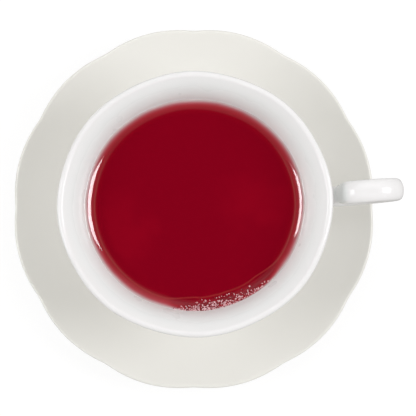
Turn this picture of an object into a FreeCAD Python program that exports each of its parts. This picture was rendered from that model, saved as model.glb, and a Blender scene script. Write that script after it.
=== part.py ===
"""A cup of red tea on its saucer, in white glazed porcelain.

The saucer is a turned dish whose rim is trimmed to twelve shallow scallops. The cup is a
flared bowl, slightly oval towards its handle, on a foot ring, with an ear-shaped strap
handle on +X. The tea fills the cup's own cavity up to a named level.

The origin is the centre of the saucer's foot ring on the table, +Z is up, sizes are in mm.
"""

import FreeCAD, Part
import Sketcher
import math
import os
import re

V = FreeCAD.Vector

# Driving dimensions. The heights of the cup are above its own foot.
SIZES = {
    # saucer
    "saucer_tip_radius": 75.0,  # to the crown of a scallop
    "scallop_depth": 1.25,  # from a crown to the cusp beside it
    "scallop_count": 12,
    "cusp_rounding": 5.0,
    "saucer_turn": 10.6,  # degrees from the handle to the nearest crown of the saucer
    "saucer_height": 19.5,  # rim above the table, before it is rounded
    "saucer_floor": 6.5,  # where the cup stands
    "saucer_thickness": 3.2,
    "well_clearance": 1.7,  # room for the cup's foot in the well of the saucer
    "well_depth": 0.8,
    "well_slope": 1.6,
    "saucer_foot_radius": 41.5,
    "saucer_foot_width": 3.4,
    "saucer_underside": 3.0,
    "saucer_rim_rounding": 1.25,
    "saucer_foot_rounding": 0.8,
    # bowl
    "cup_height": 55.0,
    "lip_radius": 52.9,
    "throat_radius": 45.75,  # where the flare starts
    "flare_height": 12.0,
    "belly_radius": 43.4,
    "belly_height": 30.0,
    "waist_radius": 40.8,
    "waist_height": 19.5,
    "hip_radius": 36.0,
    "hip_height": 10.5,
    "base_radius": 24.0,  # where the bowl grows out of its foot
    "cup_underside": 2.2,
    "cup_floor": 3.2,  # thickness of the bottom
    "cup_wall": 2.9,
    "cup_oval": 0.018,  # share by which the cup is longer on X and shorter on Y
    "lip_rounding": 0.8,
    "cup_foot_radius": 25.2,
    "cup_foot_width": 3.2,
    "cup_foot_rounding": 0.7,
    # handle
    "handle_thickness": 4.6,
    "handle_width": 9.3,
    "upper_root_width": 6.8,
    "lower_root_width": 7.0,
    "handle_reach": 83.0,  # outermost point, from the cup's axis
    "handle_below_lip": 0.2,
    "arch_radius": 10.6,  # these three are of the strap's centreline
    "bend_radius": 4.6,
    "sweep_radius": 23.0,
    "sweep_turn": 78.0,  # degrees through which the strap swings back to the bowl
    # tea
    "tea_below_lip": 11.5,
}


def make_sheet(doc):
    """The spreadsheet of the driving dimensions, one alias for each."""
    sheet = doc.addObject("Spreadsheet::Sheet", "Sizes")
    for row, (name, value) in enumerate(SIZES.items(), 1):
        sheet.set(f"A{row}", name)
        sheet.set(f"B{row}", str(value))
        sheet.setAlias(f"B{row}", name)
    doc.recompute()
    return sheet


def sized(expression):
    """The expression as FreeCAD wants it: each driving dimension is read from the sheet."""
    return re.sub(r"[a-z_]+", lambda word: "Sizes." * (word[0] in SIZES) + word[0], expression)


def value_of(sheet, expression):
    return float(sheet.evalExpression(sized(expression)))


def add_sized(doc, kind, name, **expressions):
    """A document object whose properties are bound to expressions on the driving dimensions."""
    item = doc.addObject(kind, name)
    for where, expression in expressions.items():
        item.setExpression(where, sized(expression))
    return item


# ---- saucer


def new_sketch(body, name, role):
    """A sketch of the body, on one of its own origin planes."""
    sketch = body.newObject("Sketcher::SketchObject", name)
    plane = next(item for item in body.Origin.OriginFeatures if item.Role == role)
    sketch.AttachmentSupport = [(plane, "")]
    sketch.MapMode = "FlatFace"
    return sketch


def pin(sketch, point, place, values):
    """Holds a point of the sketch at a pair of expressions, measured from the origin."""
    for kind, expression, value, axis in zip(("DistanceX", "DistanceY"), place, values, (-2, -1)):
        if abs(value) < 1e-9:
            sketch.addConstraint(Sketcher.Constraint("PointOnObject", *point, axis))
            continue
        number = sketch.addConstraint(Sketcher.Constraint(kind, -1, 1, *point, value))
        sketch.setExpression(f"Constraints[{number}]", sized(expression))


def draw_outline(sheet, sketch, corners, arcs):
    """Draws a closed outline whose corners are pairs of expressions.

    arcs maps a corner's number to the centre and the radius of the arc from it to the next
    corner, anticlockwise or not. The other sides are straight.
    """
    places = [tuple(value_of(sheet, part) for part in corner) for corner in corners]
    starts = []
    for number, place in enumerate(places):
        following = places[(number + 1) % len(places)]
        if number in arcs:
            centre = V(*(value_of(sheet, part) for part in arcs[number][0]), 0)
            towards = (V(*place, 0) + V(*following, 0)) / 2 - centre
            crown = centre + towards.normalize() * value_of(sheet, arcs[number][1])
            sketch.addGeometry(Part.Arc(V(*place, 0), crown, V(*following, 0)))
        else:
            sketch.addGeometry(Part.LineSegment(V(*place, 0), V(*following, 0)))
        # an arc that runs clockwise is kept from its far end
        kept = sketch.getPoint(number, 1).distanceToPoint(V(*place, 0)) < 1e-6
        starts.append(1 if kept else 2)
    for number, corner in enumerate(corners):
        before = number - 1 if number else len(corners) - 1
        here = (number, starts[number])
        sketch.addConstraint(Sketcher.Constraint("Coincident", before, 3 - starts[before], *here))
        pin(sketch, here, corner, places[number])
    for number, (centre, _) in arcs.items():
        middle = sketch.getPoint(number, 3)
        fixed = sketch.addConstraint(Sketcher.Constraint("DistanceX", -1, 1, number, 3, middle.x))
        sketch.setExpression(f"Constraints[{fixed}]", sized(centre[0]))


def rounded(body, name, base, chosen, radius):
    """A fillet on those edges of the base feature that chosen picks."""
    edges = [f"Edge{number}" for number, edge in enumerate(base.Shape.Edges, 1) if chosen(edge)]
    if not edges:
        raise RuntimeError(f"{name} found no edge to round")
    feature = body.newObject("PartDesign::Fillet", name)
    feature.Base = (base, edges)
    feature.setExpression("Radius", sized(radius))
    body.Document.recompute()
    return feature


def is_upright(edge):
    return isinstance(edge.Curve, Part.Line) and edge.BoundBox.ZLength > edge.Length - 1e-6


def flat_at(height):
    """A test that picks whole closed edges which lie level at a height."""

    def chosen(edge):
        box = edge.BoundBox
        return edge.isClosed() and abs(box.ZMin - height) < 1e-3 and abs(box.ZMax - height) < 1e-3

    return chosen


def is_rim_wall(face, cusp):
    """True for the upright faces that the scallops leave round the rim."""
    u, v = (sum(face.ParameterRange[:2]) / 2, sum(face.ParameterRange[2:]) / 2)
    place = face.valueAt(u, v)
    return math.hypot(place.x, place.y) > cusp - 1 and abs(face.normalAt(u, v).z) < 1e-3


def build_saucer(doc, sheet):
    """The dish turned from its section, trimmed to the scalloped plan and rounded."""
    body = doc.addObject("PartDesign::Body", "Saucer")
    body.Label = "saucer"

    # The dish is one arc that leaves the well level and climbs to the rim, over a parallel
    # underside, so the porcelain is equally thick all the way.
    brim = "saucer_tip_radius"
    spare = "(saucer_tip_radius + saucer_rim_rounding)"
    edge_of_well = "(saucer_floor + well_depth)"
    well_radius = "(cup_foot_radius + well_clearance + well_slope)"
    rise = f"(saucer_height - {edge_of_well})"
    run = f"({brim} - {well_radius})"
    inside = f"(({run} ^ 2 + {rise} ^ 2) / (2 * {rise}))"
    outside = f"({inside} + saucer_thickness)"
    centre = (well_radius, f"{edge_of_well} + {inside}")

    def dish(radius, reach):
        return f"{edge_of_well} + {inside} - sqrt({radius} ^ 2 - ({reach} - {well_radius}) ^ 2)"

    foot_inside = "(saucer_foot_radius - saucer_foot_width)"
    corners = [
        ("0", "saucer_floor"),
        ("cup_foot_radius + well_clearance", "saucer_floor"),
        (well_radius, edge_of_well),
        (spare, dish(inside, spare)),
        (spare, dish(outside, spare)),
        ("saucer_foot_radius", dish(outside, "saucer_foot_radius")),
        ("saucer_foot_radius", "0"),
        (foot_inside, "0"),
        (foot_inside, "saucer_underside"),
        ("0", "saucer_underside"),
    ]
    section = new_sketch(body, "SaucerSection", "XZ_Plane")
    draw_outline(sheet, section, corners, {2: (centre, inside), 4: (centre, outside)})
    turned = body.newObject("PartDesign::Revolution", "SaucerTurned")
    turned.Profile = section
    turned.ReferenceAxis = (section, ["V_Axis"])
    turned.Angle = 360
    doc.recompute()

    # The scallops are equal arcs from cusp to cusp. A ring from them outwards is cut away.
    plan = new_sketch(body, "ScallopPlan", "XY_Plane")
    crown = value_of(sheet, brim)
    cusp = value_of(sheet, f"{brim} - scallop_depth")
    count = int(SIZES["scallop_count"])
    for number in range(count):
        angles = [2 * math.pi * (number + part) / count for part in (-0.5, 0, 0.5)]
        marks = [(r * math.cos(a), r * math.sin(a)) for r, a in zip((cusp, crown, cusp), angles)]
        plan.addGeometry(Part.Arc(*(V(x, y, 0) for x, y in marks)))
    outer = value_of(sheet, f"{spare} + saucer_thickness")
    plan.addGeometry(Part.Circle(V(), V(0, 0, 1), outer))
    trimmed = body.newObject("PartDesign::Pocket", "ScallopTrim")
    trimmed.Profile = plan
    trimmed.Type = "ThroughAll"
    trimmed.Midplane = True
    doc.recompute()
    if trimmed.Shape.Volume > turned.Shape.Volume - 1:
        raise RuntimeError("the scallops cut nothing")

    def at_cusp(edge):
        return is_upright(edge) and math.hypot(edge.CenterOfMass.x, edge.CenterOfMass.y) < cusp + 0.01

    cusps = rounded(body, "CuspsRounded", trimmed, at_cusp, "cusp_rounding")
    wall_edges = [edge for face in cusps.Shape.Faces if is_rim_wall(face, cusp) for edge in face.Edges]

    def on_rim(edge):
        return not is_upright(edge) and any(edge.isSame(other) for other in wall_edges)

    rim = rounded(body, "RimRounded", cusps, on_rim, "saucer_rim_rounding")
    rounded(body, "FootRounded", rim, flat_at(0), "saucer_foot_rounding")
    body.setExpression("Placement.Rotation.Angle", sized("saucer_turn"))
    doc.recompute()
    return body


# ---- cup, handle and tea


def level_rings(doc, name, rings):
    """Ovals, one above the other. Each ring is a pair of expressions, its radius and height."""
    return [
        add_sized(
            doc,
            "Part::Ellipse",
            f"{name}Ring{number}",
            MajorRadius=f"({radius}) * (1 + cup_oval)",
            MinorRadius=f"({radius}) * (1 - cup_oval)",
            **{"Placement.Base.z": height},
        )
        for number, (radius, height) in enumerate(rings)
    ]


def skinned(doc, name, sections):
    """A smooth solid through closed sections."""
    loft = doc.addObject("Part::Loft", name)
    loft.Sections = sections
    loft.Solid = True
    loft.Ruled = False
    return loft


def joined(doc, kind, name, base, tool):
    result = doc.addObject(kind, name)
    result.Base = base
    result.Tool = tool
    return result


def build_bowl(doc):
    """The bowl's outside and its cavity, both skinned over level ovals."""
    outside = [
        ("base_radius", "cup_underside"),
        ("(base_radius + hip_radius) / 2", "cup_underside + (hip_height - cup_underside) * 0.3"),
        ("hip_radius", "hip_height"),
        ("waist_radius", "waist_height"),
        ("belly_radius", "belly_height"),
        ("throat_radius", "cup_height - flare_height"),
        ("lip_radius", "cup_height"),
    ]
    # The wall is measured square to the surface, so low down, where the bowl leans out,
    # the cavity's rings lie higher than the outside's as well as further in.
    inside = [
        ("base_radius - cup_wall", "cup_underside + cup_floor"),
        (
            "(base_radius + hip_radius - cup_wall) / 2",
            "cup_underside + cup_floor + (hip_height - cup_underside) * 0.25",
        ),
        ("hip_radius - cup_wall * 0.8", "hip_height + cup_wall * 0.6"),
        ("waist_radius - cup_wall * 0.95", "waist_height + cup_wall * 0.3"),
        ("belly_radius - cup_wall", "belly_height"),
        ("throat_radius - cup_wall", "cup_height - flare_height"),
        ("lip_radius - cup_wall", "cup_height"),
    ]
    above = ("lip_radius - cup_wall * 0.5", "cup_height + cup_wall")
    bowl = skinned(doc, "BowlOutside", level_rings(doc, "Bowl", outside))
    cavity = skinned(doc, "Cavity", level_rings(doc, "Cavity", inside + [above]))
    return bowl, cavity


def build_foot(doc):
    """The ring that the cup stands on, let into the bottom of the bowl."""
    depth = "cup_underside + cup_floor / 2"
    block = add_sized(doc, "Part::Cylinder", "FootBlock", Radius="cup_foot_radius", Height=depth)
    bore = add_sized(
        doc,
        "Part::Cylinder",
        "FootBore",
        Radius="cup_foot_radius - cup_foot_width",
        Height="cup_underside",
    )
    return joined(doc, "Part::Cut", "FootRing", block, bore)


def strap_section(doc, name, place, heading, width):
    """An oval section of the strap, square to its centreline on the XZ plane.

    Its heading is in degrees from straight up, so 90 looks away from the bowl.
    """
    return add_sized(
        doc,
        "Part::Ellipse",
        name,
        MajorRadius=f"{width} / 2",
        MinorRadius="handle_thickness / 2",
        Placement=f"placement(vector({place[0]}; 0; {place[1]}); rotation(90; 0; {heading}))",
    )


def build_handle(doc, sheet):
    """The ear: out from the wall, sharply up, over the arch and back in a long sweep."""
    arch_x = "(handle_reach - handle_thickness / 2 - arch_radius)"
    arch_z = "(cup_height - handle_below_lip - handle_thickness / 2 - arch_radius)"
    bend_x = f"({arch_x} - arch_radius - bend_radius)"
    sweep_x = f"({arch_x} + arch_radius - sweep_radius)"
    upper_root = ("throat_radius - cup_wall / 2", f"{arch_z} - bend_radius")
    crest = (arch_x, f"{arch_z} + arch_radius")
    swept = (
        f"({sweep_x} + sweep_radius * cos(sweep_turn))",
        f"({arch_z} - sweep_radius * sin(sweep_turn))",
    )
    inwards = f"({swept[0]} - hip_radius - cup_wall / 2)"
    lower_root = (f"{swept[0]} - {inwards}", f"{swept[1]} - {inwards} / tan(sweep_turn)")

    def spot(place):
        return V(value_of(sheet, place[0]), 0, value_of(sheet, place[1]))

    def round_spot(centre_x, radius, angle):
        offset = (f"{radius} * cos({angle})", f"{radius} * sin({angle})")
        return spot((f"{centre_x} + {offset[0]}", f"{arch_z} + {offset[1]}"))

    bend = [round_spot(bend_x, "bend_radius", angle) for angle in ("-90", "-45", "0")]
    arch = [round_spot(arch_x, "arch_radius", angle) for angle in ("180", "90", "0")]
    sweep = [round_spot(sweep_x, "sweep_radius", angle) for angle in ("0", "-sweep_turn / 2", "-sweep_turn")]
    centreline = doc.addObject("Part::Feature", "StrapCentreline")
    centreline.Shape = Part.Wire(
        [
            Part.LineSegment(spot(upper_root), bend[0]).toShape(),
            *(Part.Arc(*marks).toShape() for marks in (bend, arch, sweep)),
            Part.LineSegment(sweep[2], spot(lower_root)).toShape(),
        ]
    )
    strap = doc.addObject("Part::Sweep", "Strap")
    strap.Sections = [
        strap_section(doc, "UpperRoot", upper_root, "90", "upper_root_width"),
        strap_section(doc, "Crest", crest, "90", "handle_width"),
        strap_section(doc, "LowerRoot", lower_root, "180 + sweep_turn", "lower_root_width"),
    ]
    strap.Spine = (centreline, [f"Edge{number}" for number in range(1, 6)])
    strap.Solid = True
    strap.Frenet = True
    return strap


def build_cup(doc, bowl, cavity, foot, strap):
    """Bowl, foot and handle in one piece of porcelain, hollowed and rounded."""
    standing = joined(doc, "Part::Fuse", "BowlOnFoot", bowl, foot)
    handled = joined(doc, "Part::Fuse", "BowlWithHandle", standing, strap)
    hollowed = joined(doc, "Part::Cut", "Hollowed", handled, cavity)
    doc.recompute()
    body = doc.addObject("PartDesign::Body", "Cup")
    body.Label = "cup"
    body.BaseFeature = hollowed
    doc.recompute()
    lip = rounded(body, "LipRounded", body.Tip, flat_at(SIZES["cup_height"]), "lip_rounding")
    rounded(body, "CupFootRounded", lip, flat_at(0), "cup_foot_rounding")
    body.setExpression("Placement.Base.z", sized("saucer_floor"))
    doc.recompute()
    return body


def build_tea(doc, cavity):
    """The tea: the cavity's own form up to its level."""
    level = "cup_height - tea_below_lip"
    below = add_sized(doc, "Part::Cylinder", "BelowLevel", Radius="lip_radius", Height=level)
    tea = joined(doc, "Part::Common", "Tea", cavity, below)
    tea.Label = "tea"
    tea.setExpression("Placement.Base.z", sized("saucer_floor"))
    doc.recompute()
    return tea


def check(doc, parts):
    """Stops if any object failed or a part has no sound solid."""
    for item in doc.Objects:
        if "Invalid" in item.State or "Error" in item.State:
            raise RuntimeError(f"{item.Name} failed to build")
    for part in parts:
        if part.Shape.isNull() or not part.Shape.isValid() or len(part.Shape.Solids) != 1:
            raise RuntimeError(f"{part.Label} is not one sound solid")


def main():
    doc = FreeCAD.newDocument("CupOfTea")
    sheet = make_sheet(doc)
    saucer = build_saucer(doc, sheet)
    bowl, cavity = build_bowl(doc)
    strap = build_handle(doc, sheet)
    cup = build_cup(doc, bowl, cavity, build_foot(doc), strap)
    parts = [saucer, cup, build_tea(doc, cavity)]
    check(doc, parts)
    os.makedirs("parts", exist_ok=True)
    for part in parts:
        part.Shape.exportStep(f"parts/{part.Label}.step")
        print(part.Label, round(part.Shape.Volume), "mm3")


main()
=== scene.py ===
import bpy
import bmesh
import math
import random
from mathutils import Matrix, Vector


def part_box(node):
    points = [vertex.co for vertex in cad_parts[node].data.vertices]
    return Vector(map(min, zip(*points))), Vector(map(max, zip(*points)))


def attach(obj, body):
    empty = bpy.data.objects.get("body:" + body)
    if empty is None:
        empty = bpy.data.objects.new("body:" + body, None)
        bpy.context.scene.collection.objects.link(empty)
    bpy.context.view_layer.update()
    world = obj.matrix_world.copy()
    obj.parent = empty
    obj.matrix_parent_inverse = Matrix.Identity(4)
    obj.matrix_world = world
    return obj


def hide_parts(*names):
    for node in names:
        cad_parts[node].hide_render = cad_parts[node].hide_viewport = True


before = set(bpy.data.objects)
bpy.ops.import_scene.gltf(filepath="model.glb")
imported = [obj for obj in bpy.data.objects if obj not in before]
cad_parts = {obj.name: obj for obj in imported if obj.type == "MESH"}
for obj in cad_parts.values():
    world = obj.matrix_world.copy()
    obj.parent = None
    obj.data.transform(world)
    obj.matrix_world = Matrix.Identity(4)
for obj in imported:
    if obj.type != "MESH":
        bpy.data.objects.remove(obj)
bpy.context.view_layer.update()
mm = 0.001
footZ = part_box("cup")[0][2]  # the cup stands here, in the well of the saucer
print("frame loaded")


# shader maths on sockets

class Value:
    def __init__(self, shader, socket):
        self.shader = shader
        self.socket = socket

    def math(self, operation, *others):
        return self.shader.node("ShaderNodeMath", {"operation": operation}, [self, *others])

    def __add__(self, other): return self.math("ADD", other)
    def __radd__(self, other): return self.math("ADD", other)
    def __sub__(self, other): return self.math("SUBTRACT", other)
    def __rsub__(self, other): return self.math("MULTIPLY_ADD", -1.0, other)
    def __mul__(self, other): return self.math("MULTIPLY", other)
    def __rmul__(self, other): return self.math("MULTIPLY", other)
    def __truediv__(self, other): return self.math("DIVIDE", other)
    def __rtruediv__(self, other): return self.math("POWER", -1.0) * other
    def root(self): return self.math("SQRT")

    def between(self, low, high):
        # rises smoothly from 0 at low to 1 at high
        settings = {"interpolation_type": "SMOOTHSTEP"}
        return self.shader.node("ShaderNodeMapRange", settings, {"Value": self, "From Min": low, "From Max": high})


class Shader:
    def __init__(self, owner):
        self.owner = owner
        owner.use_nodes = True
        self.tree = owner.node_tree
        self.tree.nodes.clear()

    def node(self, kind, settings=None, values=(), output=0):
        item = self.tree.nodes.new(kind)
        for name, setting in (settings or {}).items():
            if name == "stops":
                ramp = item.color_ramp.elements
                while len(ramp) < len(setting):
                    ramp.new(0.5)
                for stop, (place, colour) in zip(ramp, setting):
                    stop.position = place
                    stop.color = (*colour, 1.0)
            else:
                setattr(item, name, setting)
        pairs = values.items() if isinstance(values, dict) else enumerate(values)
        for name, value in pairs:
            if isinstance(value, Value):
                self.tree.links.new(value.socket, item.inputs[name])
            else:
                item.inputs[name].default_value = value
        return Value(self, item.outputs[output]) if item.outputs else None

    def place(self):
        return self.node("ShaderNodeTexCoord", output="Object")

    def split(self, vector):
        parts = self.node("ShaderNodeSeparateXYZ", values=[vector]).socket.node.outputs
        return [Value(self, part) for part in parts]

    def noise(self, scale, detail=2.0, roughness=0.5, place=None):
        values = {"Vector": place or self.place(), "Scale": scale, "Detail": detail, "Roughness": roughness}
        return self.node("ShaderNodeTexNoise", values=values)

    def mixColour(self, factor, first, second):
        mix = self.tree.nodes.new("ShaderNodeMix")
        mix.data_type = "RGBA"
        # by number, because its other sockets have the same names: 6 and 7 take the colours
        for name, value in ((0, factor), (6, first), (7, second)):
            if isinstance(value, Value):
                self.tree.links.new(value.socket, mix.inputs[name])
            else:
                mix.inputs[name].default_value = value if name == 0 else (*value, 1.0)
        return Value(self, mix.outputs[2])

    def bump(self, height, strength, distance):
        return self.node("ShaderNodeBump", values={"Strength": strength, "Distance": distance, "Height": height})

    def finish(self, surface, kind="ShaderNodeOutputMaterial"):
        self.node(kind, values=[surface])
        return self.owner


def material(name):
    return Shader(bpy.data.materials.new(name))


def linear(red, green, blue):
    # from a colour as a screen counts it, 0 to 255
    steps = [part / 255 for part in (red, green, blue)]
    return tuple(part / 12.92 if part <= 0.04045 else ((part + 0.055) / 1.055) ** 2.4 for part in steps)


# outlines for spinning, in millimetres as (radius, height)

def arcPoints(centre, radius, start, end, count):
    turns = [math.radians(start + (end - start) * step / count) for step in range(count + 1)]
    return [(centre[0] + radius * math.cos(turn), centre[1] + radius * math.sin(turn)) for turn in turns]


def curvePoints(marks, count):
    # a smooth run through the marks, with its slope at each taken from the two beside it
    ends = [marks[0]] + list(marks) + [marks[-1]]
    points = []
    for before, start, end, after in zip(ends, ends[1:], ends[2:], ends[3:]):
        for step in range(count):
            t = step / count
            weights = (-t + 2 * t**2 - t**3, 2 - 5 * t**2 + 3 * t**3, t + 4 * t**2 - 3 * t**3, t**3 - t**2)
            axes = zip(before, start, end, after)
            points.append(tuple(sum(w * c for w, c in zip(weights, axis)) / 2 for axis in axes))
    return points + [marks[-1]]


def besideLine(points, distance):
    # the points moved square to their line, to its left
    moved = []
    for number, (r, z) in enumerate(points):
        back = points[max(number - 1, 0)]
        ahead = points[min(number + 1, len(points) - 1)]
        run = Vector((ahead[0] - back[0], ahead[1] - back[1])).normalized()
        moved.append((r - run.y * distance, z + run.x * distance))
    return moved


def spun(points, steps):
    mesh = bmesh.new()
    spots = [mesh.verts.new((max(r, 0) * mm, 0, z * mm)) for r, z in points]
    lines = [mesh.edges.new(pair) for pair in zip(spots, spots[1:])]
    bmesh.ops.spin(mesh, geom=spots + lines, cent=(0, 0, 0), axis=(0, 0, 1), angle=2 * math.pi,
                   steps=steps, use_merge=True, use_duplicate=False)
    bmesh.ops.remove_doubles(mesh, verts=mesh.verts[:], dist=1e-6)
    return mesh


def addMesh(mesh, other):
    # puts the other mesh into this one, and lets it go
    data = bpy.data.meshes.new("part")
    other.to_mesh(data)
    other.free()
    mesh.from_mesh(data)
    bpy.data.meshes.remove(data)


def asPiece(mesh, name, finish, node=None):
    bmesh.ops.recalc_face_normals(mesh, faces=mesh.faces[:])
    for face in mesh.faces:
        face.smooth = True
    data = bpy.data.meshes.new(name)
    mesh.to_mesh(data)
    mesh.free()
    data.materials.append(finish)
    piece = bpy.data.objects.new(name, data)
    bpy.context.collection.objects.link(piece)
    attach(piece, "root")
    if node:
        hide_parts(node)
    print("made", name, len(data.polygons), "faces")
    return piece


# glazed porcelain

glaze = {
    "ior": 1.5,
    "roughness": 0.06,
    "cloudScale": 22.0,
    "cloudShade": 0.985,
    "rippleScale": 130.0,
    "rippleHeight": 0.7,  # beside the grain of the bare foot, which is 1
    "rippleRoughness": 0.04,
    "steep": (0.5, 0.8),  # how far a face looks inwards before it counts as steep
    "steepRoughness": 0.2,  # the steep inside of the bowl is a little duller
    "steepAntiBounceTint": (0.965, 1.005, 0.995),  # and painted less red, to cancel the red light that the tea throws back on it
    "bareHeight": 0.7,  # the ground foot has no glaze up to this height
    "bareShade": 0.9,
    "bareRoughness": 0.5,
    "grainScale": 2600.0,
    "reliefStrength": 0.25,
    "reliefDepth": 0.06,
}


def porcelain(name, tint, shine, footHeight):
    shader = material(name)
    place = shader.place()
    x, y, height = shader.split(place)
    facing = shader.split(shader.node("ShaderNodeTexCoord", output="Normal"))
    inward = 0 - (facing[0] * x + facing[1] * y) / (x * x + y * y).root()
    steep = inward.between(*glaze["steep"])
    bare = 1 - height.between(footHeight, footHeight + glaze["bareHeight"] * mm)
    cloud = shader.noise(glaze["cloudScale"], detail=3.0, roughness=0.55, place=place)
    colour = shader.mixColour(cloud, tint, [part * glaze["cloudShade"] for part in tint])
    # painted against light: the steep inside is tinted less red, to cancel the red light that the tea throws back
    colour = shader.mixColour(steep, colour, [part * share for part, share in zip(tint, glaze["steepAntiBounceTint"])])
    colour = shader.mixColour(bare, colour, [part * glaze["bareShade"] for part in tint])
    grain = shader.noise(glaze["grainScale"], roughness=0.6, place=place)
    ripple = shader.noise(glaze["rippleScale"], place=place)
    dull = glaze["roughness"] + ripple * glaze["rippleRoughness"]
    dull = dull + steep * glaze["steepRoughness"] + bare * glaze["bareRoughness"]
    relief = ripple * glaze["rippleHeight"] + grain * bare
    surface = shader.node("ShaderNodeBsdfPrincipled", values={
        "Base Color": colour,
        "Roughness": dull,
        "IOR": glaze["ior"],
        "Specular IOR Level": shine,
        "Normal": shader.bump(relief, glaze["reliefStrength"], glaze["reliefDepth"] * mm),
    })
    return shader.finish(surface)


# saucer

saucer = {
    "tipRadius": 75.0,
    "cuspRadius": 73.75,
    "lobes": 12,
    "turn": 10.6,  # degrees from the handle to the nearest crown
    "cuspBlend": 1.3,  # degrees over which a cusp is softened
    "plain": 55.0,  # the scallops die away inwards to this radius
    "height": 19.5,
    "floor": 6.5,
    "wellRadius": 28.5,
    "wellDepth": 0.8,
    "wellBlend": [(3.2, 0.0), (1.4, 0.22)],  # in from the well's edge, and up from its floor
    "thickness": 3.2,
    "rim": 0.9,
    "rimTaper": 8.0,  # it thickens to the full wall over this length
    "footRadius": 41.5,
    "footWidth": 3.4,
    "footBlend": [(0.4, 0.55), (0.0, 1.2)],  # out from the ring, and down from the wall
    "footClear": 1.2,  # the wall's underside ends this far outside the ring
    "footRound": 0.8,
    "footCorner": 0.7,
    "underside": 3.0,
    "dishSteps": 30,
    "wellSteps": 5,
    "rimSteps": 14,
    "footSteps": 5,
    "steps": 480,
    "tint": linear(240, 239, 233),
    "shine": 0.4,
}


def lobeReach(turn):
    # how far the scalloped edge reaches in this direction
    half = math.pi / saucer["lobes"]
    tip, cusp = saucer["tipRadius"], saucer["cuspRadius"]
    away = (tip**2 - cusp**2) / (2 * (tip - cusp * math.cos(half)))
    radius = tip - away
    turn = (turn - math.radians(saucer["turn"]) + half) % (2 * half) - half
    soft = math.radians(saucer["cuspBlend"])
    turn = half - math.sqrt((half - abs(turn)) ** 2 + soft**2)
    return away * math.cos(turn) + math.sqrt(radius**2 - (away * math.sin(turn)) ** 2)


def dishHeight(r):
    # the dish leaves the well level and climbs to the rim along one arc
    start = saucer["floor"] + saucer["wellDepth"]
    run = saucer["tipRadius"] - saucer["wellRadius"]
    rise = saucer["height"] - start
    radius = (run**2 + rise**2) / (2 * rise)
    return start + radius - math.sqrt(radius**2 - (r - saucer["wellRadius"]) ** 2)


def saucerPoints():
    # from the middle of the well, over the rim and the foot ring, to the middle underneath
    floor, well, tip, rim = saucer["floor"], saucer["wellRadius"], saucer["tipRadius"], saucer["rim"]
    steps = saucer["dishSteps"]
    top = [well + (tip - rim - well) * step / steps for step in range(steps + 1)]
    top = [(r, dishHeight(r)) for r in top]
    blend = [(well - away, floor + rise) for away, rise in saucer["wellBlend"]]
    blend = curvePoints([*blend, top[0]], saucer["wellSteps"])[:-1]
    slope = math.degrees(math.atan2(top[-1][1] - top[-2][1], top[-1][0] - top[-2][0]))
    lip = besideLine(top[-2:], -rim)[1]
    edge = arcPoints(lip, rim, slope + 90, slope - 90, saucer["rimSteps"])
    ring, width, base = saucer["footRadius"], saucer["footWidth"], saucer["underside"]
    under = besideLine(top, -saucer["thickness"])[::-1]
    under = [spot for spot in under if ring + saucer["footClear"] < spot[0] < tip - saucer["rimTaper"]]
    bottom, corner, turns = saucer["footRound"], saucer["footCorner"], saucer["footSteps"]
    foot = [
        *[(ring + away, under[-1][1] - drop) for away, drop in saucer["footBlend"]],
        *arcPoints((ring - bottom, bottom), bottom, 0, -90, turns),
        *arcPoints((ring - width + bottom, bottom), bottom, -90, -180, turns),
        *arcPoints((ring - width - corner, base - corner), corner, 0, 90, turns),
    ]
    return [(0, floor), (blend[0][0] / 2, floor), *blend, *top[:-1], *edge, *under, *foot, (0, base)]


def makeSaucer():
    mesh = spun(saucerPoints(), saucer["steps"])
    tip, plain = saucer["tipRadius"], saucer["plain"]
    for vert in mesh.verts:
        r, turn = math.hypot(vert.co.x, vert.co.y) / mm, math.atan2(vert.co.y, vert.co.x)
        if r > plain:
            share = min((r - plain) / (tip - plain), 1) ** 2
            reach = r + share * (lobeReach(turn) - tip)
            vert.co.x *= reach / r
            vert.co.y *= reach / r
            vert.co.z += (dishHeight(reach) - dishHeight(r)) * mm
    finish = porcelain("saucerGlaze", saucer["tint"], saucer["shine"], 0.0)
    return asPiece(mesh, "saucerDish", finish, "saucer")


# cup

cup = {
    "height": 55.0,
    "oval": 0.018,  # wider along the handle by this share, and narrower across it
    "flutes": 8,
    "fluteDepth": 0.2,
    "flutesFrom": 20.0,  # the flutes show outside this radius
    "wall": 2.9,
    "outside": [(24.9, 2.7), (30.3, 5.1), (36.0, 10.5), (40.8, 19.5), (43.4, 30.0),
                (44.5, 37.0), (45.75, 43.0), (47.3, 47.0), (49.6, 50.2), (52.4, 52.7)],
    "footRadius": 25.2,
    "footWidth": 3.2,
    "footRound": 0.7,
    "footCorner": 0.6,
    "footSide": (0.15, 1.8),  # the ring leans in by so much at this height
    "underside": 2.2,
    "floor": 5.4,
    "flatFloor": 12.0,
    "floorEdge": [(25.5, 6.3), (19.0, 5.45)],
    "wallEnd": 1.6,  # above the floor, where the inner wall gives way to it
    "wallSteps": 6,
    "lipSteps": 12,
    "footSteps": 4,
    "floorSteps": 5,
    "steps": 288,
    "tint": linear(241, 240, 240),
    "shine": 0.5,
}
ovalX, ovalY = 1 + cup["oval"], 1 - cup["oval"]


def cupWalls():
    outside = curvePoints(cup["outside"], cup["wallSteps"])
    inside = besideLine(outside, cup["wall"])
    return outside, [spot for spot in inside if spot[1] > cup["floor"] + cup["wallEnd"]]


def ovalised(vert):
    # the bowl is oval from foot to lip, and the faint flutes grow towards the lip
    x, y, z = vert.co
    r, turn = math.hypot(x, y), math.atan2(y, x)
    share = min(max(z / (cup["height"] * mm), 0), 1)
    wave = cup["fluteDepth"] * mm * share**3 * math.cos(cup["flutes"] * turn)
    if r > cup["flutesFrom"] * mm:
        vert.co.x *= ovalX * (r + wave) / r
        vert.co.y *= ovalY * (r + wave) / r
    else:
        vert.co.x *= ovalX
        vert.co.y *= ovalY


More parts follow.
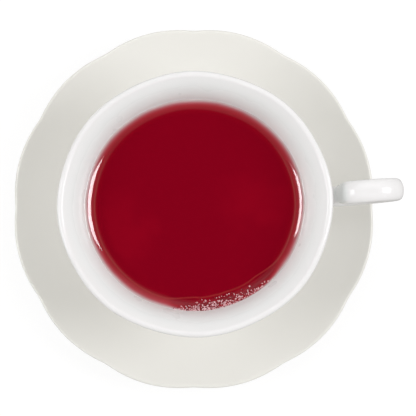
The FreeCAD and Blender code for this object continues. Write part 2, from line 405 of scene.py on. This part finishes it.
def makeBowl():
    outside, inside = cupWalls()
    (outR, outZ), (inR, inZ) = outside[-1], inside[-1]
    lip = ((outR + inR) / 2, (outZ + inZ) / 2)
    start = math.degrees(math.atan2(outZ - lip[1], outR - lip[0]))
    edge = arcPoints(lip, cup["wall"] / 2, start, start + 180, cup["lipSteps"])[1:-1]
    ring, width, under = cup["footRadius"], cup["footWidth"], cup["underside"]
    bottom, corner, turns = cup["footRound"], cup["footCorner"], cup["footSteps"]
    lean, leanZ = cup["footSide"]
    foot = [
        *arcPoints((ring - width - corner, under - corner), corner, 90, 0, turns),
        *arcPoints((ring - width + bottom, bottom), bottom, 180, 270, turns),
        *arcPoints((ring - bottom, bottom), bottom, 270, 360, turns),
        (ring - lean, leanZ),
    ]
    floor = [inside[0], *cup["floorEdge"], (cup["flatFloor"], cup["floor"])]
    floor = curvePoints(floor, cup["floorSteps"])[1:]
    points = [(0, under), *foot, *outside, *edge, *inside[::-1], *floor, (0, cup["floor"])]
    mesh = spun(points, cup["steps"])
    for vert in mesh.verts:
        ovalised(vert)
    return mesh


handle = {
    "reach": 83.5,
    "top": 54.8,
    "thickness": 4.6,
    "width": 8.9,
    "upperWidth": 6.8,
    "lowerWidth": 7.0,
    "widening": (3.0, 1.1),  # how fast it widens towards the crest, and how late that begins
    "narrowing": 0.4,  # below 1 it keeps its width until near the lower root
    "start": 44.6,  # inside the bowl's wall, at the upper root
    "end": 38.0,  # and at the lower
    "bend": 4.6,
    "arch": 9.8,
    "archHeight": 10.6,
    "archInner": 12.4,  # the arch is longer and squarer towards the bowl
    "archSquareness": 3.0,  # 2 is an ellipse
    "sweep": 23.0,
    "sweepTurn": 78.0,
    "steps": (10, 10, 30, 20, 14),  # along the first run, bend, arch, sweep and tail
    "segments": 32,
    "flare": 0.5,
    "flareReach": 1.3,
    "upperRoot": 45.6,  # where the strap leaves the wall
    "upperRings": 12,  # rings that the upper root may flare
    "lowerRoot": (39.6, 14.5),
}


def strapLine():
    # the centreline as (x, height), out of the bowl, over the arch, and back in lower down;
    # the bend and the arch stop one step short, where the next part begins
    arch, inner, tall, bend = handle["arch"], handle["archInner"], handle["archHeight"], handle["bend"]
    archX = handle["reach"] - handle["thickness"] / 2 - arch
    archZ = handle["top"] - handle["thickness"] / 2 - tall
    bendX, sweepX = archX - inner - bend, archX + arch - handle["sweep"]
    start = handle["start"]
    runSteps, bendSteps, archSteps, sweepSteps, tailSteps = handle["steps"]
    line = [(start + (bendX - start) * step / runSteps, archZ - bend) for step in range(runSteps)]
    line += arcPoints((bendX, archZ), bend, -90, 0, bendSteps)[:-1]
    square = 2 / handle["archSquareness"]
    for x, z in arcPoints((0, 0), 1.0, 180, 0, archSteps)[:-1]:
        if x < 0:
            line.append((archX - inner * abs(x) ** square, archZ + tall * z**square))
        else:
            line.append((archX + arch * x, archZ + tall * z))
    line += arcPoints((sweepX, archZ), handle["sweep"], 0, -handle["sweepTurn"], sweepSteps)
    slope = math.radians(handle["sweepTurn"])
    x, z = line[-1]
    tail = (x - handle["end"]) / math.sin(slope)
    back, down = math.sin(slope) * tail, math.cos(slope) * tail
    line += [(x - back * step / tailSteps, z - down * step / tailSteps) for step in range(1, tailSteps + 1)]
    return line


def makeHandle():
    mesh = bmesh.new()
    line = strapLine()
    crest = max(range(len(line)), key=lambda number: line[number][1])
    faster, later = handle["widening"]
    rings = []
    for number, (x, z) in enumerate(line):
        back, ahead = line[max(number - 1, 0)], line[min(number + 1, len(line) - 1)]
        heading = math.atan2(ahead[0] - back[0], ahead[1] - back[1])
        if number < crest:
            root, share = handle["upperWidth"], min(max(number / crest * faster - later, 0), 1)
        else:
            left = 1 - (number - crest) / (len(line) - 1 - crest)
            root, share = handle["lowerWidth"], left ** handle["narrowing"]
        width = root + (handle["width"] - root) * share
        nearest = math.dist((x, z), handle["lowerRoot"])
        if number < handle["upperRings"]:
            nearest = min(nearest, abs(x - handle["upperRoot"]))
        flare = 1 + handle["flare"] * math.exp(-nearest / handle["flareReach"])
        ring = bmesh.ops.create_circle(mesh, segments=handle["segments"], radius=1.0)["verts"]
        size = Matrix.Diagonal((width / 2 * flare * mm, handle["thickness"] / 2 * flare * mm, 1, 1))
        turned = Matrix.Rotation(heading, 4, "Y") @ Matrix.Rotation(math.pi / 2, 4, "Z")
        bmesh.ops.transform(mesh, matrix=Matrix.Translation((x * mm, 0, z * mm)) @ turned @ size, verts=ring)
        rings.append(list(dict.fromkeys(edge for vert in ring for edge in vert.link_edges)))
    for first, second in zip(rings, rings[1:]):
        bmesh.ops.bridge_loops(mesh, edges=first + second)
    for ends in (rings[0], rings[-1]):
        bmesh.ops.edgeloop_fill(mesh, edges=ends)
    return mesh


def makeCup():
    mesh = makeBowl()
    addMesh(mesh, makeHandle())
    bmesh.ops.translate(mesh, verts=mesh.verts[:], vec=(0, 0, footZ))
    finish = porcelain("cupGlaze", cup["tint"], cup["shine"], footZ)
    return asPiece(mesh, "cupPorcelain", finish, "cup")


# tea

tea = {
    "level": 41.1,
    "meniscus": 2.4,  # how far it climbs the wall
    "reach": 2.0,  # distance over which the climb dies away
    "intoWall": 0.5,
    "sideEnd": 0.8,  # below the edge, where the side gives way to it
    "bottom": [(0.0, 5.2), (16.0, 5.2)],
    "still": 20.0,  # radius within which the top has no rings
    "shore": 12.0,  # width of the rings that follow the climb
    "shoreSteps": 48,
    "shoreCrowding": 0.7,  # below 1 they are closer at the wall
    "ior": 1.34,
    "roughness": 0.03,
    # distance from the wall in millimetres, and the colour there
    "fringe": [(0.0, linear(214, 204, 202)), (0.35, linear(203, 178, 178)), (0.75, linear(190, 142, 145)),
               (1.2, linear(176, 94, 101)), (1.65, linear(167, 60, 69)), (2.1, linear(159, 37, 48)),
               (2.6, linear(152, 23, 36)), (3.2, linear(145, 13, 29)), (3.9, linear(137, 5, 25)),
               (6.0, linear(128, 1, 24))],
    "driftScale": 60.0,
    "drift": 0.7,  # the fringe wavers by this much
    "foamSide": (0.26, 0.97),  # shares of right and near in the direction of the foam
    "foamSpread": (0.8, 0.97),
    "foamTightens": 1.3,  # the fringe is narrower beside the foam
    "cloud": linear(141, 4, 27),  # drifts of slightly brighter tea, with more of them on the near side as painted light
    "cloudScale": 28.0,
    "cloudRange": (0.42, 0.62),
    "cloudAndNearLight": (0.5, 0.25),  # everywhere, and added on the near side as painted light
    "cloudFrom": (4.0, 9.0),  # distance from the wall over which they begin
    "reflectionRing": 3.6,  # a painted reflection: the thin brownish ring, this far from the wall
    "reflectionRingColour": linear(150, 48, 46),
    "reflectionRingAmount": 0.6,
    "reflectionRingHalf": (0.1, 0.5),  # it is full up to the first distance, and gone at the second
    "reflectionRingAside": 1.9,  # it swings in round the foam
    "reflectionRingWaver": (0.6, 2.4),  # everywhere, and added beside the foam
    "reflectionRingFade": (-0.75, -0.15),  # it is gone at the far side
}


def wallRadius(z):
    _, inside = cupWalls()
    for (r0, z0), (r1, z1) in zip(inside, inside[1:]):
        if z0 <= z <= z1:
            return r0 + (r1 - r0) * (z - z0) / (z1 - z0)
    return inside[-1][0]


def teaHeight(r, edge):
    return tea["level"] + tea["meniscus"] * math.exp((r - edge) / tea["reach"])


def teaMaterial(edge):
    shader = material("redTea")
    x, y, _ = shader.split(shader.place())
    x, y = x / (ovalX * mm), y / (ovalY * mm)
    reach = (x * x + y * y).root()
    near = 0 - y / reach
    toRight, toNear = tea["foamSide"]
    foamy = ((x * toRight - y * toNear) / reach).between(*tea["foamSpread"])
    drift = shader.noise(tea["driftScale"]) - 0.5
    inward = edge - reach
    depth = inward * (1 + foamy * tea["foamTightens"]) + drift * tea["drift"]
    width = tea["fringe"][-1][0]
    stops = [(place / width, tint) for place, tint in tea["fringe"]]
    colour = shader.node("ShaderNodeValToRGB", {"stops": stops}, [depth / width])
    # the drifts are random tone, but their extra amount on the near side is painted light: the tea is lighter on
    # that side
    amount, nearSideLight = tea["cloudAndNearLight"]
    cloud = shader.noise(tea["cloudScale"], detail=3.0, roughness=0.6).between(*tea["cloudRange"])
    cloud = cloud * (near * nearSideLight + amount) * depth.between(*tea["cloudFrom"])
    colour = shader.mixColour(cloud, colour, tea["cloud"])
    # painted reflection: a thin brownish ring on the tea, a little in from the wall, gone at the far side
    waver, besideFoam = tea["reflectionRingWaver"]
    line = inward - tea["reflectionRing"] - foamy * tea["reflectionRingAside"] + drift * (waver + foamy * besideFoam)
    line = 1 - line.math("ABSOLUTE").between(*tea["reflectionRingHalf"])
    line = line * near.between(*tea["reflectionRingFade"])
    colour = shader.mixColour(line * tea["reflectionRingAmount"], colour, tea["reflectionRingColour"])
    surface = shader.node("ShaderNodeBsdfPrincipled", values={
        "Base Color": colour,
        "Roughness": tea["roughness"],
        "IOR": tea["ior"],
    })
    return shader.finish(surface)


def makeTea():
    level, rise, shore, steps = tea["level"], tea["meniscus"], tea["shore"], tea["shoreSteps"]
    edge = wallRadius(level + rise)
    top = [edge - shore + shore * (step / steps) ** tea["shoreCrowding"] for step in range(steps + 1)]
    top = [(r, teaHeight(r, edge)) for r in top]
    _, inside = cupWalls()
    side = [(r + tea["intoWall"], z) for r, z in inside if z < level + rise - tea["sideEnd"]]
    points = [*tea["bottom"], *side, (edge + tea["intoWall"], top[-1][1]), *top[::-1],
              (tea["still"], level), (0, level)]
    mesh = spun(points, cup["steps"])
    for vert in mesh.verts:
        ovalised(vert)
    bmesh.ops.translate(mesh, verts=mesh.verts[:], vec=(0, 0, footZ))
    return asPiece(mesh, "teaFill", teaMaterial(edge), "tea"), edge


# foam of tiny bubbles where the tea meets the wall

foam = {
    "count": 520,
    "from": 254.0,  # degrees round from the handle
    "to": 311.0,
    "densest": 268.0,
    "offWall": 0.1,
    "band": (0.4, 1.5),  # its spread off the wall at its ends, and added at its middle
    "widest": 4.4,
    "radii": (0.1154, 0.2923),
    "seed": 11,
    "cut": -0.25,  # height at which a bubble of radius 1 meets the tea
    "squash": 0.8,
    "rimFade": 0.7,
    "roughness": 0.3,
    "dark": (linear(122, 1, 21), linear(150, 20, 36)),  # at the crown, and at the rim, lighter there as a painted reflection
    "darkRimSheen": (0.5, 1.0),
    # pale bubbles, pinkish at the crown and near white at the rim, where the white is a painted reflection
    "pale": (linear(226, 166, 174), linear(254, 250, 250)),
    "paleRimGlint": (0.1, 0.7),
    "paleFrom": (0.44, 0.56),  # about half of the bubbles are pale
}


def foamMaterial():
    shader = material("teaFoam")
    rim = shader.node("ShaderNodeAttribute", {"attribute_name": "bubbleRim"}, output="Fac")
    tone = shader.node("ShaderNodeAttribute", {"attribute_name": "bubbleTone"}, output="Fac")
    # painted reflection: every bubble is lighter towards its rim, as a clear dome shines there
    dark = shader.mixColour(rim.between(*foam["darkRimSheen"]), *foam["dark"])
    pale = shader.mixColour(rim.between(*foam["paleRimGlint"]), *foam["pale"])
    surface = shader.node("ShaderNodeBsdfPrincipled", values={
        "Base Color": shader.mixColour(tone.between(*foam["paleFrom"]), dark, pale),
        "Roughness": foam["roughness"],
        "IOR": tea["ior"],
    })
    return shader.finish(surface)


def bubble():
    # the upper part of a small ball, with how near its rim each point lies
    mesh = bmesh.new()
    rim = mesh.verts.layers.float.new("bubbleRim")
    mesh.verts.layers.float.new("bubbleTone")
    bmesh.ops.create_icosphere(mesh, subdivisions=2, radius=1.0)
    ball = mesh.verts[:] + mesh.edges[:] + mesh.faces[:]
    bmesh.ops.bisect_plane(mesh, geom=ball, plane_co=(0, 0, foam["cut"]), plane_no=(0, 0, 1), clear_inner=True)
    bmesh.ops.scale(mesh, vec=(1, 1, foam["squash"]), verts=mesh.verts[:])
    for vert in mesh.verts:
        vert[rim] = 1 - max(vert.co.z / foam["squash"], 0) ** foam["rimFade"]
    data = bpy.data.meshes.new("bubble")
    mesh.to_mesh(data)
    mesh.free()
    return data


def makeFoam(edge):
    chance = random.Random(foam["seed"])
    dome = bubble()
    mesh = bmesh.new()
    mesh.from_mesh(dome)
    mesh.clear()  # only the bubble's two attributes stay
    start, end = foam["from"], foam["to"]
    middle, half = (start + end) / 2, (end - start) / 2
    atEnds, atMiddle = foam["band"]
    for _ in range(foam["count"]):
        turn = chance.triangular(start, end, foam["densest"])
        spread = atEnds + atMiddle * (1 - (abs(turn - middle) / half) ** 2)
        r = edge - foam["offWall"] - min(abs(chance.gauss(0, 1)) * spread, foam["widest"])
        size = chance.uniform(*foam["radii"]) * (1 + chance.random() ** 8)  # a few are much larger
        tone = chance.random()
        turn = math.radians(turn)
        spot = Vector((r * ovalX * math.cos(turn), r * ovalY * math.sin(turn), teaHeight(r, edge)))
        before = len(mesh.verts)
        mesh.from_mesh(dome)
        mesh.verts.ensure_lookup_table()
        fresh = mesh.verts[before:]
        layer = mesh.verts.layers.float["bubbleTone"]
        for vert in fresh:
            vert[layer] = tone
        bmesh.ops.scale(mesh, vec=(size * mm,) * 3, verts=fresh)
        bmesh.ops.translate(mesh, vec=spot * mm + Vector((0, 0, footZ)), verts=fresh)
    return asPiece(mesh, "teaFoam", foamMaterial())


makeSaucer()
makeCup()
teaPiece, teaEdge = makeTea()
makeFoam(teaEdge)


# floor, lights and camera

studio = {
    "roll": 4.4,  # degrees that the handle points up from level in the view
    "cameraHeight": 700.0,
    "cameraOffset": (-5.8, -28.4),  # along the view's right and up
    "aim": (5.7, 0.0, 21.0),
    "lens": 141.8,
    "fill": 0.642,
    "fillColour": (1, 0.988, 0.962, 1),
    "zenith": (0.95, 0.985),  # the dome darkens between these heights, of 1
    "zenithShade": 0.97,
    "floorSize": 3.0,  # half its width in metres
    "floorDrop": 0.05,  # millimetres below the foot ring
    "floorColour": (0.55, 0.55, 0.54, 1),  # as it lights the object
    "floorShade": (0.2, 0.2, 0.2, 1),  # as the camera sees it, with the glow on top
    "floorGlow": 0.84,
    "lampColour": (0.97, 0.97, 1.0),
    "lampDistance": 1.0,
    # degrees round from the view's right, degrees down from straight above,
    # width and height in metres, and watts
    "boxLeft": (182, 47, 0.5, 0.4, 2.7),
    "boxRight": (1, 47, 0.45, 0.55, 3.6),
    "boxFar": (90, 35, 0.8, 0.5, 0.9),
    "glintLeft": (178, 50.5, 0.54, 0.34, 17),
    "glintRight": (3, 47, 0.62, 0.46, 28),
}


def across(x, y, z=0.0):
    # a place given along the view's right and up, in millimetres
    turn = math.radians(-studio["roll"])
    return Vector((x * math.cos(turn) - y * math.sin(turn), x * math.sin(turn) + y * math.cos(turn), z)) * mm


def makeFloor():
    mesh = bmesh.new()
    bmesh.ops.create_grid(mesh, x_segments=1, y_segments=1, size=studio["floorSize"])
    data = bpy.data.meshes.new("tableTop")
    mesh.to_mesh(data)
    mesh.free()
    floor = bpy.data.objects.new("tableTop", data)
    floor.location.z = -studio["floorDrop"] * mm
    bpy.context.collection.objects.link(floor)
    shader = material("tableWhite")
    plain = shader.node("ShaderNodeBsdfDiffuse", values={"Color": studio["floorColour"]})
    lit = shader.node("ShaderNodeBsdfDiffuse", values={"Color": studio["floorShade"]})
    glow = shader.node("ShaderNodeEmission", values={"Color": (1, 1, 1, 1), "Strength": studio["floorGlow"]})
    seen = shader.node("ShaderNodeAddShader", values=[lit, glow])
    camera = shader.node("ShaderNodeLightPath", output="Is Camera Ray")
    data.materials.append(shader.finish(shader.node("ShaderNodeMixShader", values=[camera, plain, seen])))


def makeLamp(name, lit=None):
    azimuth, tilt, width, height, power = studio[name]
    data = bpy.data.lights.new(name, "AREA")
    data.shape = "RECTANGLE"
    data.size = width
    data.size_y = height
    data.energy = power
    data.color = studio["lampColour"]
    lamp = bpy.data.objects.new(name, data)
    lean, turn = math.radians(tilt), math.radians(azimuth - studio["roll"])
    away = Vector((math.sin(lean) * math.cos(turn), math.sin(lean) * math.sin(turn), math.cos(lean)))
    lamp.location = away * studio["lampDistance"]
    lamp.rotation_euler = away.to_track_quat("Z", "Y").to_euler()
    lamp.visible_camera = False
    if lit:  # a glint that only this piece shows
        lamp.visible_diffuse = False
        lamp.light_linking.receiver_collection = bpy.data.collections.new(name)
        lamp.light_linking.receiver_collection.objects.link(lit)
    bpy.context.collection.objects.link(lamp)


def makeWorld():
    # an even dome, dark straight above, where the camera hangs
    shader = Shader(bpy.data.worlds.new("studio"))
    up = shader.split(shader.node("ShaderNodeTexCoord", output="Generated"))[2]
    dome = (1 - up.between(*studio["zenith"]) * studio["zenithShade"]) * studio["fill"]
    camera = shader.node("ShaderNodeLightPath", output="Is Camera Ray")
    bright = camera + (1 - camera) * dome
    background = shader.node("ShaderNodeBackground", values={"Color": studio["fillColour"], "Strength": bright})
    bpy.context.scene.world = shader.finish(background, "ShaderNodeOutputWorld")


def makeCamera():
    data = bpy.data.cameras.new("camera")
    data.lens = studio["lens"]
    camera = bpy.data.objects.new("camera", data)
    place = across(*studio["cameraOffset"], studio["cameraHeight"])
    ahead = (across(*studio["aim"]) - place).normalized()
    right = ahead.cross(across(0, 1)).normalized()
    up = right.cross(ahead)
    turned = Matrix((right, up, -ahead)).transposed().to_4x4()
    camera.matrix_world = Matrix.Translation(place) @ turned
    bpy.context.collection.objects.link(camera)
    bpy.context.scene.camera = camera


makeFloor()
makeWorld()
for box in ("boxLeft", "boxRight", "boxFar"):
    makeLamp(box)
for glint in ("glintLeft", "glintRight"):
    makeLamp(glint, teaPiece)
makeCamera()
bpy.context.scene.view_settings.view_transform = "Standard"
print("studio ready")
